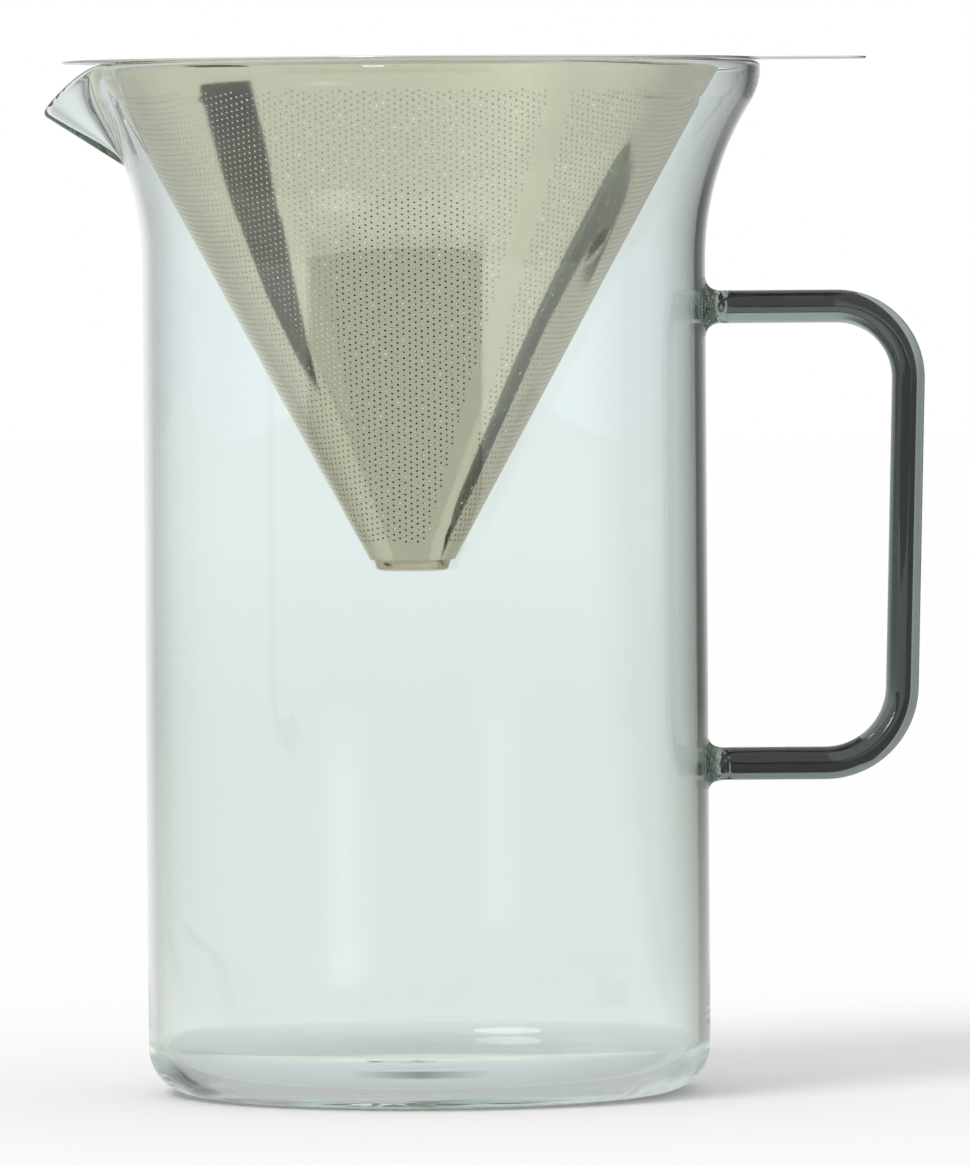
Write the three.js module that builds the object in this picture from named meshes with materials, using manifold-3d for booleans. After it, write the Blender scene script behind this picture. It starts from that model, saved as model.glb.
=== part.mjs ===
// A pour-over coffee maker: a glass jug with a fused rod handle, and a steel cone filter that lifts out.
// Millimetres, +Z up. The origin is the middle of the flat base, the spout points along -X and the
// handle stands out along +X.
import * as THREE from "three";
import { mergeVertices } from "three/addons/utils/BufferGeometryUtils.js";
import Module from "manifold-3d";

const wasm = await Module();
wasm.setup();

// Jug, blown from borosilicate tube
const jug_height = 191.85;
const wall_radius = 52.5;
const wall_thickness = 2;
const floor_thickness = 3;
const heel_radius = 8.7;
const inner_heel_radius = 7;

// Mouth: one arc flares the wall outwards, and a reverse arc turns the lip upright again
const mouth_flare = 10.45;
const flare_arc_radius = 55;
const lip_arc_radius = 12.3;
const lip_thickness = 2.2;

// Spout, pulled out of the flare and pinched to a narrow throat
const spout_reach = 7.1;
const spout_drop = 8.55;
const spout_half_angle = THREE.MathUtils.degToRad(20);
const spout_tip_round = THREE.MathUtils.degToRad(1.8);
const throat_below_lip = 17.75;
const throat_width_share = 0.16;
const widening_power = 1.3;

// Handle, one bent glass rod with a fused foot at each end
const rod_radius = 3.08;
const handle_below_flare = 8.7;
const handle_span = 85.3;
const handle_reach = 38.1;
const handle_lean = 2.2;
const top_bend_radius = 13.4;
const bottom_bend_radius = 14.5;
const foot_length = 2.6;
const top_foot_radius = 5.55;
const top_foot_rise = 0.6;
const bottom_foot_radius = 4.9;
const fused_gap = 0.3;

// Filter, one steel sheet thickness throughout the cone and its cap
const sheet = 0.4;
const cone_play = 2.5;
const cone_depth = 92.75;
const cone_tip_radius = 8;
const seat_clearance = 0.3;
const side_clearance = 0.5;

// Flange that carries the filter on the rim, with its finger tab
const flange_thickness = 0.4;
const flange_bearing = 0.3;
const tab_length = 20.5;
const tab_width = 22;
const tab_corner_radius = 8;
const tab_root_radius = 6;

// Cap pressed from sheet, welded inside the small end of the cone
const cap_drop = 2.1;
const cap_taper = 0.45;
const cap_corner_radius = 0.9;
const cap_brim = 3;
const weld_gap = 0.3;

// Facets
const plain_step = THREE.MathUtils.degToRad(6);
const spout_step_count = 24;
const arc_steps = 4;
const lip_steps = 6;
const rod_sides = 14;
const rod_steps = 72;
const round_segments = 72;

// Places worked out from the sizes above
const lip_radius = lip_thickness / 2;
const lip_height = jug_height - lip_radius;
const mouth_radius = wall_radius + mouth_flare;
const flare_angle = Math.acos(1 - mouth_flare / (flare_arc_radius + lip_arc_radius));
const flare_start = lip_height - (flare_arc_radius + lip_arc_radius) * Math.sin(flare_angle);
const throat_angle = Math.asin((lip_height - throat_below_lip - flare_start) / flare_arc_radius);
const handle_top = flare_start - handle_below_flare;
const handle_bottom = handle_top - handle_span;
const cone_top_radius = mouth_radius - lip_thickness - cone_play;
const cone_angle = Math.atan2(cone_top_radius - cone_tip_radius, cone_depth);
const sheet_across = sheet / Math.cos(cone_angle);
const seat_height = jug_height + seat_clearance;
const seat_above_lip = seat_height - lip_height;
const lip_line_radius = mouth_radius - lip_radius;

// The filter rests against the spout side of the mouth, a side clearance away from the round lip
const filter_offset =
  lip_line_radius -
  cone_top_radius +
  (seat_above_lip * Math.sin(cone_angle) - lip_radius - side_clearance) / Math.cos(cone_angle);
const flange_radius = lip_line_radius + filter_offset + flange_bearing;

// Materials
const clear_glass = new THREE.MeshStandardMaterial({
  color: 0xdde8e4,
  roughness: 0.04,
  metalness: 0,
  transparent: true,
  opacity: 0.4,
});
const rod_glass = new THREE.MeshStandardMaterial({
  color: 0x5d6663,
  roughness: 0.05,
  metalness: 0,
  transparent: true,
  opacity: 0.75,
});
const perforated_steel = new THREE.MeshStandardMaterial({ color: 0xc9c6b4, roughness: 0.32, metalness: 1 });
const flange_steel = new THREE.MeshStandardMaterial({ color: 0xcfcdca, roughness: 0.25, metalness: 1 });
const pressed_steel = new THREE.MeshStandardMaterial({ color: 0xc4c2b6, roughness: 0.3, metalness: 1 });

// Points on an arc, from one angle to another, both ends included
function arcPoints(centre, radius, from, to, steps) {
  return Array.from({ length: steps + 1 }, (_, i) => {
    const angle = from + ((to - from) * i) / steps;
    return new THREE.Vector2(centre.x + radius * Math.cos(angle), centre.y + radius * Math.sin(angle));
  });
}

// How far a meridian takes part in the spout: 1 in its middle, 0 outside it. The two sides leave the
// mouth's circle smoothly, meet in a rounded crease, and come closer together towards the throat.
function spoutWeight(azimuth, rise) {
  const width = THREE.MathUtils.lerp(throat_width_share, 1, rise ** widening_power);
  const rounded = (angle) => Math.hypot(angle, spout_tip_round) - spout_tip_round;
  const share = rounded(azimuth / width) / rounded(spout_half_angle);
  return (1 - Math.min(share, 1)) ** 2;
}

// Outside of the mouth on one meridian, as radius and height, from the straight wall to the lip.
// Each point knows its share of the way up the spout and the wall's thickness there.
function mouthOutside(azimuth) {
  const flare_centre = new THREE.Vector2(wall_radius + flare_arc_radius, flare_start);
  const lip_centre = new THREE.Vector2(mouth_radius - lip_arc_radius, lip_height);
  const flareArc = (from, to, steps) =>
    arcPoints(flare_centre, flare_arc_radius, Math.PI - from, Math.PI - to, steps);
  const below_throat = flareArc(0, throat_angle, arc_steps - 1);
  const above_throat = flareArc(throat_angle, flare_angle, arc_steps);
  const lip_arc = arcPoints(lip_centre, lip_arc_radius, -flare_angle, 0, arc_steps);

  const throat_to_bend = flare_arc_radius * (flare_angle - throat_angle);
  const bend_to_lip = lip_arc_radius * flare_angle;
  const spout_length = throat_to_bend + bend_to_lip;
  const throat = below_throat.at(-1);
  const tip = new THREE.Vector2(mouth_radius + spout_reach, lip_height - spout_drop);

  const stations = below_throat.map((point) => ({ point, thickness: wall_thickness }));
  const pull = (point, rise, thickness) => {
    const spout_line = throat.clone().lerp(tip, rise);
    stations.push({ point: point.clone().lerp(spout_line, spoutWeight(azimuth, rise)), thickness });
  };
  above_throat.slice(1).forEach((point, i) => {
    pull(point, (throat_to_bend * (i + 1)) / arc_steps / spout_length, wall_thickness);
  });
  lip_arc.slice(1).forEach((point, i) => {
    const up_lip = (i + 1) / arc_steps;
    const thickness = THREE.MathUtils.lerp(wall_thickness, lip_thickness, up_lip);
    pull(point, (throat_to_bend + bend_to_lip * up_lip) / spout_length, thickness);
  });
  return stations;
}

// The jug's whole section on one meridian: base, heel, wall, mouth, round lip, and back down inside
function jugSection(azimuth) {
  const quarter = Math.PI / 2;
  const stations = mouthOutside(azimuth);
  const outside = stations.map((station) => station.point);
  const [third_last, second_last, end] = outside.slice(-3);
  const past_end = end.clone().sub(second_last).multiplyScalar(3).add(third_last);
  const inside = stations.map(({ point, thickness }, i) => {
    const on = (outside[i + 1] ?? past_end).clone();
    const along = i > 0 ? on.sub(outside[i - 1]).normalize() : new THREE.Vector2(0, 1);
    return point.clone().addScaledVector(new THREE.Vector2(-along.y, along.x), thickness);
  });

  const outer_end = outside.at(-1);
  const inner_end = inside.at(-1);
  const lip_middle = outer_end.clone().lerp(inner_end, 1 / 2);
  const outward = outer_end.clone().sub(lip_middle);
  const lip_turn = outward.angle();
  const lip = arcPoints(lip_middle, outward.length(), lip_turn, lip_turn + Math.PI, lip_steps);

  const heel_centre = new THREE.Vector2(wall_radius - heel_radius, heel_radius);
  const inner_radius = wall_radius - wall_thickness;
  const inner_heel_centre = new THREE.Vector2(
    inner_radius - inner_heel_radius,
    floor_thickness + inner_heel_radius,
  );
  return [
    new THREE.Vector2(0, 0),
    ...arcPoints(heel_centre, heel_radius, -quarter, 0, arc_steps + 1),
    ...outside,
    ...lip.slice(1, -1),
    ...inside.reverse(),
    ...arcPoints(inner_heel_centre, inner_heel_radius, 0, -quarter, arc_steps),
    new THREE.Vector2(0, floor_thickness),
  ];
}

// Azimuths of the jug's meridians, counted from the spout: closer together across the spout
function jugAzimuths() {
  const azimuths = [];
  for (let i = 0; i < spout_step_count; i++) {
    azimuths.push(spout_half_angle * ((2 * i) / spout_step_count - 1));
  }
  const rest = 2 * (Math.PI - spout_half_angle);
  const rest_count = 2 * Math.round(rest / plain_step / 2);
  for (let i = 0; i < rest_count; i++) {
    azimuths.push(spout_half_angle + (rest * i) / rest_count);
  }
  return azimuths;
}

// Skins the meridian sections into one closed surface. Each section starts and ends on the axis.
function loftRound(azimuths, sectionAt) {
  const positions = [];
  const triangles = [];
  const sections = azimuths.map(sectionAt);
  const last = sections[0].length - 1;
  const ring = last - 1;
  sections.forEach((section, i) => {
    const cos = Math.cos(azimuths[i]);
    const sin = Math.sin(azimuths[i]);
    section.slice(1, last).forEach((point) => positions.push(-point.x * cos, -point.x * sin, point.y));
  });
  const bottom_pole = azimuths.length * ring;
  const top_pole = bottom_pole + 1;
  positions.push(0, 0, sections[0][0].y, 0, 0, sections[0][last].y);
  azimuths.forEach((_, i) => {
    const here = i * ring;
    const next = ((i + 1) % azimuths.length) * ring;
    triangles.push(bottom_pole, next, here);
    for (let j = 0; j < ring - 1; j++) {
      triangles.push(here + j, next + j, next + j + 1, here + j, next + j + 1, here + j + 1);
    }
    triangles.push(top_pole, here + ring - 1, next + ring - 1);
  });
  const geometry = new THREE.BufferGeometry();
  geometry.setAttribute("position", new THREE.Float32BufferAttribute(positions, 3));
  geometry.setIndex(triangles);
  geometry.computeVertexNormals();
  return geometry;
}

// Joining and cutting
function solidOf(geometry) {
  const bare = geometry.clone();
  bare.deleteAttribute("normal");
  bare.deleteAttribute("uv");
  const merged = mergeVertices(bare);
  const mesh = new wasm.Mesh({
    numProp: 3,
    vertProperties: merged.attributes.position.array,
    triVerts: new Uint32Array(merged.index.array),
  });
  return new wasm.Manifold(mesh);
}

function geometryOf(solid) {
  const mesh = solid.getMesh();
  const geometry = new THREE.BufferGeometry();
  geometry.setAttribute("position", new THREE.BufferAttribute(mesh.vertProperties, 3));
  geometry.setIndex(new THREE.BufferAttribute(mesh.triVerts, 1));
  geometry.computeVertexNormals();
  return geometry;
}

// A flat outline through corner points, each inner corner rounded to its radius
function roundedLine(corners, radii) {
  const line = new THREE.Path();
  line.moveTo(corners[0].x, corners[0].y);
  radii.forEach((radius, i) => {
    const corner = corners[i + 1];
    const back = corners[i].clone().sub(corner).normalize();
    const on = corners[i + 2].clone().sub(corner).normalize();
    const half_angle = Math.acos(back.dot(on)) / 2;
    const start = corner.clone().addScaledVector(back, radius / Math.tan(half_angle));
    const end = corner.clone().addScaledVector(on, radius / Math.tan(half_angle));
    const middle = back.clone().add(on).normalize();
    const centre = corner.clone().addScaledVector(middle, radius / Math.sin(half_angle));
    line.lineTo(start.x, start.y);
    line.absarc(
      centre.x,
      centre.y,
      radius,
      start.clone().sub(centre).angle(),
      end.clone().sub(centre).angle(),
      back.cross(on) > 0,
    );
  });
  line.lineTo(corners.at(-1).x, corners.at(-1).y);
  return line;
}

// Stands a flat outline up in the plane of the handle and the spout
class UprightCurve extends THREE.Curve {
  constructor(outline) {
    super();
    this.outline = outline;
  }
  getPoint(share, target = new THREE.Vector3()) {
    const point = this.outline.getPoint(share);
    return target.set(point.x, 0, point.y);
  }
}

// A foot flares from the rod to the wall, as glass does where it is fused on
function handleFoot(foot_radius, rise) {
  const flare = Array.from({ length: arc_steps + 1 }, (_, i) => {
    const turn = ((Math.PI / 2) * i) / arc_steps;
    const radius = rod_radius + (foot_radius - rod_radius) * (1 - Math.sin(turn));
    return new THREE.Vector2(radius, foot_length * (1 - Math.cos(turn)));
  });
  const profile = [
    new THREE.Vector2(0, -wall_thickness),
    new THREE.Vector2(foot_radius, -wall_thickness),
    ...flare,
    new THREE.Vector2(0, foot_length),
  ];
  const foot = new THREE.LatheGeometry(profile, 2 * rod_sides);
  foot.rotateZ(-Math.PI / 2);
  const place = foot.attributes.position;
  for (let i = 0; i < place.count; i++) {
    const to_wall = 1 - Math.max(place.getX(i), 0) / foot_length;
    place.setZ(i, place.getZ(i) + rise * to_wall ** 2);
  }
  return foot;
}

function handleGeometry() {
  const bend_x = wall_radius + handle_reach;
  const rod_start = wall_radius - wall_thickness;
  const corners = [
    new THREE.Vector2(rod_start, handle_top),
    new THREE.Vector2(bend_x, handle_top),
    new THREE.Vector2(bend_x - handle_lean, handle_bottom),
    new THREE.Vector2(rod_start, handle_bottom),
  ];
  const centre_line = new UprightCurve(roundedLine(corners, [top_bend_radius, bottom_bend_radius]));
  const round = arcPoints(new THREE.Vector2(), rod_radius, 0, 2 * Math.PI, rod_sides);
  const section = new THREE.Shape(round.slice(1));
  const rod = new THREE.ExtrudeGeometry(section, { steps: rod_steps, extrudePath: centre_line });
  const fused_radius = wall_radius + fused_gap;
  const top_foot = handleFoot(top_foot_radius, top_foot_rise).translate(fused_radius, 0, handle_top);
  const bottom_foot = handleFoot(bottom_foot_radius, 0).translate(fused_radius, 0, handle_bottom);

  const jug_outline = loftRound(jugAzimuths(), () => [
    new THREE.Vector2(0, 0),
    new THREE.Vector2(fused_radius, 0),
    new THREE.Vector2(fused_radius, jug_height),
    new THREE.Vector2(0, jug_height),
  ]);
  const joined = solidOf(rod).add(solidOf(top_foot)).add(solidOf(bottom_foot));
  return geometryOf(joined.subtract(solidOf(jug_outline)));
}

// The filter's pieces are drawn about the cone's axis, with the underside of the flange at height 0
function coneGeometry() {
  const corners = [
    new THREE.Vector2(cone_tip_radius, -cone_depth),
    new THREE.Vector2(cone_top_radius, 0),
    new THREE.Vector2(cone_top_radius - sheet_across, 0),
    new THREE.Vector2(cone_tip_radius - sheet_across, -cone_depth),
    new THREE.Vector2(cone_tip_radius, -cone_depth),
  ];
  return new THREE.LatheGeometry(corners, round_segments).rotateX(Math.PI / 2);
}

// A flat ring whose outline runs out into a tab with hollow roots and round corners
function flangeGeometry() {
  const half_width = tab_width / 2;
  const root_y = half_width + tab_root_radius;
  const root_x = Math.sqrt((flange_radius + tab_root_radius) ** 2 - root_y ** 2);
  const root_angle = Math.atan2(root_y, root_x);
  const corner_x = flange_radius + tab_length - tab_corner_radius;
  const corner_y = half_width - tab_corner_radius;
  const quarter = Math.PI / 2;
  const place = (x, y) => new THREE.Vector2(x, y);
  const rootArc = (side, from, to) =>
    arcPoints(place(root_x, side * root_y), tab_root_radius, from, to, arc_steps);
  const cornerArc = (side, from, to) =>
    arcPoints(place(corner_x, side * corner_y), tab_corner_radius, from, to, arc_steps);
  const outline = new THREE.Shape([
    ...arcPoints(place(0, 0), flange_radius, root_angle, 2 * Math.PI - root_angle, round_segments),
    ...rootArc(-1, Math.PI - root_angle, quarter).slice(1),
    ...cornerArc(-1, -quarter, 0),
    ...cornerArc(1, 0, quarter),
    ...rootArc(1, -quarter, root_angle - Math.PI).slice(0, -1),
  ]);
  const hole_radius = cone_top_radius - sheet_across;
  const hole = arcPoints(place(0, 0), hole_radius, 2 * Math.PI, 0, round_segments).slice(1);
  outline.holes.push(new THREE.Path(hole));
  return new THREE.ExtrudeGeometry(outline, { depth: flange_thickness, bevelEnabled: false });
}

// A shallow cup: flat bottom, round corner, tapered side, and a brim that follows the cone inside
function capGeometry() {
  const slope = Math.tan(cone_angle);
  const side_radius = cone_tip_radius - sheet_across - weld_gap;
  const base = -cone_depth - cap_drop;
  const bottom_radius = side_radius - cap_taper;
  const corner_centre = new THREE.Vector2(bottom_radius - cap_corner_radius, base + cap_corner_radius);
  const inner_corner_radius = cap_corner_radius - sheet;
  const profile = [
    new THREE.Vector2(0, base),
    ...arcPoints(corner_centre, cap_corner_radius, -Math.PI / 2, 0, arc_steps),
    new THREE.Vector2(side_radius, -cone_depth),
    new THREE.Vector2(side_radius + cap_brim * slope, -cone_depth + cap_brim),
    new THREE.Vector2(side_radius + cap_brim * slope - sheet_across, -cone_depth + cap_brim),
    new THREE.Vector2(side_radius - sheet_across, -cone_depth),
    ...arcPoints(corner_centre, inner_corner_radius, 0, -Math.PI / 2, arc_steps),
    new THREE.Vector2(0, base + sheet),
  ];
  return new THREE.LatheGeometry(profile, round_segments / 2).rotateX(Math.PI / 2);
}

function named(name, geometry, material) {
  const mesh = new THREE.Mesh(geometry, material);
  mesh.name = name;
  return mesh;
}

const jug = new THREE.Group();
jug.add(named("jug_body", loftRound(jugAzimuths(), jugSection), clear_glass));
jug.add(named("jug_handle", handleGeometry(), rod_glass));

const filter = new THREE.Group();
filter.position.set(-filter_offset, 0, seat_height);
filter.add(named("filter_cone", coneGeometry(), perforated_steel));
filter.add(named("filter_flange", flangeGeometry(), flange_steel));
filter.add(named("filter_base_cap", capGeometry(), pressed_steel));

const coffee_maker = new THREE.Group();
coffee_maker.add(jug, filter);

export default coffee_maker;
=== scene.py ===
import math

import bpy
import numpy as np
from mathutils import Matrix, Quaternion, Vector


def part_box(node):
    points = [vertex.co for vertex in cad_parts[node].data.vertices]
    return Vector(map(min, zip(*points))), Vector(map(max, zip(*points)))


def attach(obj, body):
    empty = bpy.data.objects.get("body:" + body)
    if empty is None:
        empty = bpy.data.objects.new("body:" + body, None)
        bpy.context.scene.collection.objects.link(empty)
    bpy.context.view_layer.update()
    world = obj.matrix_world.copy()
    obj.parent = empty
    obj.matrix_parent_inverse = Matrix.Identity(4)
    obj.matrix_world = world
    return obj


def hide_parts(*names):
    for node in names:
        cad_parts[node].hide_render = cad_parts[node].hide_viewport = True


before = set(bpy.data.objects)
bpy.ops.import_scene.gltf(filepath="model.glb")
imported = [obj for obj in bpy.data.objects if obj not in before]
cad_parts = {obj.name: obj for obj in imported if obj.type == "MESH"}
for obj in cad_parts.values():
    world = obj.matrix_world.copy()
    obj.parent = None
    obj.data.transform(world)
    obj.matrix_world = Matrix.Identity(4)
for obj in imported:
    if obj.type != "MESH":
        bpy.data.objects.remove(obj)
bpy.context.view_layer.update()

# Viewpoint of the photograph
# A long lens stands level with the upper part of the cone and looks slightly down. The camera is
# turned by a fraction of a degree, so that the jug leans as it does in the photograph.
MM = 0.001
camera_distance = 2205 * MM
camera_height = 166.3 * MM
aim = Vector((10.96 * MM, 0, 94.9 * MM))
camera_roll = math.radians(-0.43)


def add_object(name, data):
    """An object in the scene that holds this data."""
    added = bpy.data.objects.new(name, data)
    bpy.context.collection.objects.link(added)
    return added


camera_data = bpy.data.cameras.new("camera")
camera_data.lens = 365.2
camera_data.sensor_width = 36
camera_data.clip_end = 100
camera = add_object("camera", camera_data)
camera.location = (aim.x, -camera_distance, camera_height)
towards = (aim - camera.location).to_track_quat("-Z", "Y")
camera.rotation_euler = (towards @ Quaternion((0, 0, 1), camera_roll)).to_euler()
bpy.context.scene.camera = camera


# Jug body
# Borosilicate tube, 2 mm thick, closed with a flat base, flared at the mouth and pulled out into
# a spout while soft. Its lip is melted round in the flame, and the middle of its floor keeps the
# shallow ripples of the sealed tube.
jug_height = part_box("jug_body")[1][2] / MM
wall_radius = 52.5
wall_thickness = 2
floor_thickness = 3
heel_radius = 8.7
inner_heel_radius = 7
mouth_flare = 10.45
flare_arc_radius = 55
lip_arc_radius = 12.3
lip_thickness = 2.2
spout_reach = 7.1
spout_drop = 8.55
spout_half_angle = math.radians(20)
spout_tip_round = math.radians(4.5)
throat_below_lip = 17.75
throat_width_share = 0.16
widening_power = 1.3
spout_meridians = 96
plain_meridians = 224

quarter = math.pi / 2
lip_height = jug_height - lip_thickness / 2
mouth_radius = wall_radius + mouth_flare
flare_angle = math.acos(1 - mouth_flare / (flare_arc_radius + lip_arc_radius))
flare_start = lip_height - (flare_arc_radius + lip_arc_radius) * math.sin(flare_angle)
throat_angle = math.asin((lip_height - throat_below_lip - flare_start) / flare_arc_radius)


def arc_points(centre, radius, start, end, steps):
    turn = np.linspace(start, end, steps + 1)
    return np.stack([centre[0] + radius * np.cos(turn), centre[1] + radius * np.sin(turn)], 1)


def spout_weight(azimuth, rise):
    """How far a meridian takes part in the spout: 1 in its middle, 0 outside it."""
    width = throat_width_share + (1 - throat_width_share) * rise**widening_power
    rounded = lambda angle: np.hypot(angle, spout_tip_round) - spout_tip_round
    share = np.minimum(rounded(azimuth / width) / rounded(spout_half_angle), 1)
    return (1 - share) ** 2


def mouth_outside(azimuth):
    """Outside of the mouth on one meridian, as radius and height, with the wall's thickness."""
    flare_centre = (wall_radius + flare_arc_radius, flare_start)
    lip_centre = (mouth_radius - lip_arc_radius, lip_height)
    throat_turn = math.pi - throat_angle
    below = arc_points(flare_centre, flare_arc_radius, math.pi, throat_turn, 10)
    above = arc_points(flare_centre, flare_arc_radius, throat_turn, math.pi - flare_angle, 16)[1:]
    lip = arc_points(lip_centre, lip_arc_radius, -flare_angle, 0, 12)[1:]

    flare_length = flare_arc_radius * (flare_angle - throat_angle)
    lip_length = lip_arc_radius * flare_angle
    along_flare = flare_length * np.linspace(0, 1, len(above) + 1)[1:]
    along_lip = flare_length + lip_length * np.linspace(0, 1, len(lip) + 1)[1:]
    rise = np.concatenate([along_flare, along_lip]) / (flare_length + lip_length)
    tip = np.array([mouth_radius + spout_reach, lip_height - spout_drop])
    spout_line = below[-1] + rise[:, None] * (tip - below[-1])
    pulled = np.concatenate([above, lip])
    pulled += spout_weight(azimuth, rise)[:, None] * (spout_line - pulled)

    outside = np.concatenate([below, pulled])
    thickness = np.full(len(outside), float(wall_thickness))
    thickness[-len(lip) :] += (lip_thickness - wall_thickness) * np.linspace(0, 1, len(lip))
    return outside, thickness


def jug_section(azimuth):
    """The whole section on one meridian, from the middle of the base round to the inner floor."""
    outside, thickness = mouth_outside(azimuth)
    past_end = 3 * (outside[-1] - outside[-2]) + outside[-3]
    along = np.concatenate([outside[1:], [past_end]]) - np.concatenate([outside[:1], outside[:-1]])
    along[0] = (0, 1)
    along /= np.linalg.norm(along, axis=1)[:, None]
    inside = outside + thickness[:, None] * np.stack([-along[:, 1], along[:, 0]], 1)

    middle = (outside[-1] + inside[-1]) / 2
    outward = outside[-1] - middle
    turn = math.atan2(outward[1], outward[0])
    lip = arc_points(middle, np.linalg.norm(outward), turn, turn + math.pi, 14)[1:-1]

    heel = arc_points((wall_radius - heel_radius, heel_radius), heel_radius, -quarter, 0, 14)
    inner_radius = wall_radius - wall_thickness
    inner_centre = (inner_radius - inner_heel_radius, floor_thickness + inner_heel_radius)
    inner_heel = arc_points(inner_centre, inner_heel_radius, 0, -quarter, 12)
    base = np.linspace(0, heel[0][0], 8)[1:-1]
    wall = np.linspace(heel_radius, flare_start, 30)[1:-1]
    floor = np.linspace(0, inner_centre[0], 40)[:0:-1]
    return np.concatenate(
        [
            [(0, 0)],
            np.stack([base, np.zeros(len(base))], 1),
            heel,
            np.stack([np.full(len(wall), wall_radius), wall], 1),
            outside,
            lip,
            inside[::-1],
            np.stack([np.full(len(wall), inner_radius), wall[::-1]], 1)[:-2],
            inner_heel[:-1],
            np.stack([floor, np.full(len(floor), floor_thickness)], 1),
            [(0, floor_thickness)],
        ]
    )


def floor_ripple(places):
    """The sealed middle of the floor: a shallow dimple a little off centre, with rings round it."""
    off_centre = np.array([-5.2, -1])
    dimple_radius = 9
    dimple_depth = 0.9
    ring_spacing = 9
    ring_height = 0.06
    rings_radius = 13
    distance = np.hypot(*(places[:, :2] - off_centre).T)
    fading = np.exp(-((distance / rings_radius) ** 2))
    rings = ring_height * np.cos(2 * math.pi * distance / ring_spacing) * fading
    return rings - dimple_depth * np.exp(-((distance / dimple_radius) ** 2))


def new_piece(name, vertices, faces, material):
    """A smooth mesh object with its place in its mesh. Sizes go in as millimetres."""
    mesh = bpy.data.meshes.new(name)
    mesh.from_pydata((np.asarray(vertices) * MM).tolist(), [], faces)
    mesh.shade_smooth()
    mesh.materials.append(material)
    return add_object(name, mesh)


def linear(hex_colour):
    """An sRGB hex colour as the linear values that shaders take."""
    channels = [int(hex_colour[i : i + 2], 16) / 255 for i in (1, 3, 5)]
    return (*[c / 12.92 if c <= 0.04045 else ((c + 0.055) / 1.055) ** 2.4 for c in channels], 1)


def add_node(tree, kind, inputs=None, stops=(), **settings):
    """Adds a node with its settings. Its kind goes without ShaderNode or GeometryNode. Each input
    is a value, or what is linked to it: a node, which stands for its first output, a socket, or a
    list of them. A ramp has stops, pairs of a share and the brightness there."""
    starts = [start for start in ("ShaderNode", "GeometryNode", "") if hasattr(bpy.types, start + kind)]
    node = tree.nodes.new(starts[0] + kind)
    for name, value in settings.items():
        setattr(node, name, value)
    for i, (share, grey) in enumerate(stops):
        ramp = node.color_ramp.elements
        if i == 0:
            ramp.remove(ramp[1])
        stop = ramp[0] if i == 0 else ramp.new(share)
        stop.position = share
        stop.color = (grey, grey, grey, 1)
    for key, value in (inputs or {}).items():
        for source in value if isinstance(value, list) else [value]:
            if isinstance(source, bpy.types.Node):
                source = source.outputs[0]
            if isinstance(source, bpy.types.NodeSocket):
                tree.links.new(source, node.inputs[key])
            else:
                node.inputs[key].default_value = source
    return node


def new_material(name):
    """A material and its empty node tree."""
    material = bpy.data.materials.new(name)
    material.use_nodes = True
    material.node_tree.nodes.clear()
    return material, material.node_tree


def drawn_out_noise(tree, place, sizes, detail):
    """Noise whose marks have these sizes along the three axes of a place."""
    scale = tuple(1 / size for size in sizes)
    drawn_out = add_node(tree, "Mapping", {"Vector": place, "Scale": scale})
    return add_node(tree, "TexNoise", {"Vector": drawn_out, "Scale": 1, "Detail": detail})


def finish_glass(tree, surface, roughness, relief, depth, density):
    """Ends the tree of a borosilicate glass, with a colour for its surface and one for its depth."""
    glass = {"Base Color": linear(surface), "Roughness": roughness, "Normal": relief}
    glass = add_node(tree, "BsdfPrincipled", {**glass, "IOR": 1.474, "Transmission Weight": 1.0})
    tint = add_node(tree, "VolumeAbsorption", {"Color": linear(depth), "Density": density})
    add_node(tree, "OutputMaterial", {"Surface": glass, "Volume": tint})


# Clear borosilicate: colourless to the eye through one wall, with the faint green-grey that shows
# where the look passes through a length of it. The drawn tube leaves long shallow streaks.
streak_width = 7 * MM
streak_length = 90 * MM
streak_depth = 0.02 * MM
jug_glass, tree = new_material("borosilicate_clear_drawn")
place = add_node(tree, "TexCoord").outputs["Object"]
streaks = drawn_out_noise(tree, place, (streak_width, streak_width, streak_length), 1)
waves = add_node(tree, "Bump", {"Height": streaks, "Strength": 0.2, "Distance": streak_depth})
finish_glass(tree, "#f0f6f6", roughness=0.0, relief=waves, depth="#dbe8de", density=9.0)

spout_turns = np.linspace(-spout_half_angle, spout_half_angle, spout_meridians, endpoint=False)
plain_end = 2 * math.pi - spout_half_angle
plain_turns = np.linspace(spout_half_angle, plain_end, plain_meridians, endpoint=False)
azimuths = np.concatenate([spout_turns, plain_turns])
from_spout = (azimuths + math.pi) % (2 * math.pi) - math.pi
sections = np.array([jug_section(azimuth) for azimuth in from_spout])
ring = sections.shape[1] - 2
x = -sections[:, 1:-1, 0] * np.cos(azimuths)[:, None]
y = -sections[:, 1:-1, 0] * np.sin(azimuths)[:, None]
jug_points = np.stack([x, y, sections[:, 1:-1, 1]], 2).reshape(-1, 3)
jug_points = np.concatenate([jug_points, [(0, 0, 0), (0, 0, floor_thickness)]])
rippled_radius = 43
inside_ripple = np.hypot(*jug_points[:, :2].T) < rippled_radius
on_floor = np.isclose(jug_points[:, 2], floor_thickness) & inside_ripple
jug_points[on_floor, 2] += floor_ripple(jug_points[on_floor])

jug_faces = []
count = len(azimuths)
for i in range(count):
    here, there = i * ring, (i + 1) % count * ring
    jug_faces.append((count * ring, there, here))
    jug_faces += [(here + j, there + j, there + j + 1, here + j + 1) for j in range(ring - 1)]
    jug_faces.append((count * ring + 1, here + ring - 1, there + ring - 1))
jug = new_piece("jug_blown_glass", jug_points, jug_faces, jug_glass)
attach(jug, "jug")
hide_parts("jug_body")


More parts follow.
